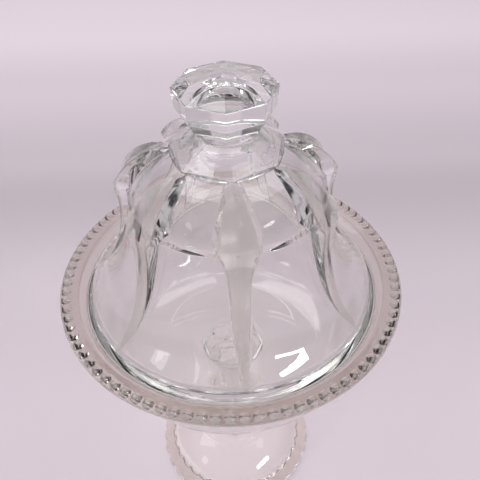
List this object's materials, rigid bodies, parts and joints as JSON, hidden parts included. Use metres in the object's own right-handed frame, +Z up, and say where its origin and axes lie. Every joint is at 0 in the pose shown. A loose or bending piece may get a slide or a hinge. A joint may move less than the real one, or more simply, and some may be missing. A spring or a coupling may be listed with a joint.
{
  "type": "covered compote",
  "caption": "Clear pressed-glass footed compote: a deep bowl with a beaded rim on a tall panelled stem, and a loose ribbed bell cover with a faceted knob.",
  "frame": {"origin": "on the table, at the middle of the flat ring under the foot", "axes": "+Z up along the axis of the bowl and the cover, -Y towards the viewer of the picture, +X to that viewer's right"},
  "size_m": [0.201, 0.201, 0.3188],
  "materials": {
    "pressed_glass": "clear colourless pressed glass, fire-polished",
    "cover_glass": "clear colourless pressed glass, fire-polished"
  },
  "bodies": {
    "base": {"foot_and_stem": "pressed_glass", "joining_wafer": "pressed_glass", "bowl": "pressed_glass"},
    "cover": {"bell_cover": "cover_glass", "finial_knob": "cover_glass"}
  },
  "joints": [
    {"name": "cover_lift", "type": "slide", "parent": "base", "child": "cover", "axis": [0, 0, 1], "range_m": [0, 0.16]}
  ]
}
